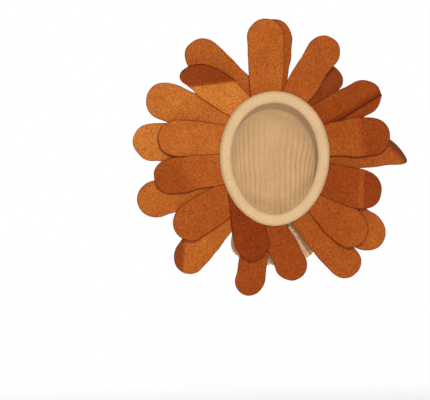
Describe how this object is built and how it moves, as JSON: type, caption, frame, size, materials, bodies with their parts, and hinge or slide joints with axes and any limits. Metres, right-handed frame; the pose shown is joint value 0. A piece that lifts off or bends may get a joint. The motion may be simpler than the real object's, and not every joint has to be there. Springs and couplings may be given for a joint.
{
  "type": "pet lion mane wig",
  "caption": "Lion mane wig for a small pet: two layers of rust felt petals fan out round a padded cream band, in front of a fleece hood gathered in to an elastic neck.",
  "frame": {"origin": "middle of the face opening, in the plane of the seam where band, petals and hood meet", "axes": "-Y is the way the wearer's face looks out of the opening, +Z points to the top of the mane and +X to the wearer's left"},
  "size_m": [0.2476, 0.099, 0.2503],
  "materials": {
    "rust_felt": "matte felt",
    "cream_fleece": "soft fleece"
  },
  "bodies": {
    "root": {"face_band": "cream_fleece", "hood": "cream_fleece", "neck_hem": "cream_fleece", "petal_front_01": "rust_felt", "petal_front_02": "rust_felt", "petal_front_03": "rust_felt", "petal_front_04": "rust_felt", "petal_front_05": "rust_felt", "petal_front_06": "rust_felt", "petal_front_07": "rust_felt", "petal_front_08": "rust_felt", "petal_front_09": "rust_felt", "petal_front_10": "rust_felt", "petal_front_11": "rust_felt", "petal_front_12": "rust_felt", "petal_back_01": "rust_felt", "petal_back_02": "rust_felt", "petal_back_03": "rust_felt", "petal_back_04": "rust_felt", "petal_back_05": "rust_felt", "petal_back_06": "rust_felt", "petal_back_07": "rust_felt", "petal_back_08": "rust_felt", "petal_back_09": "rust_felt", "petal_back_10": "rust_felt", "petal_back_11": "rust_felt"}
  },
  "joints": []
}
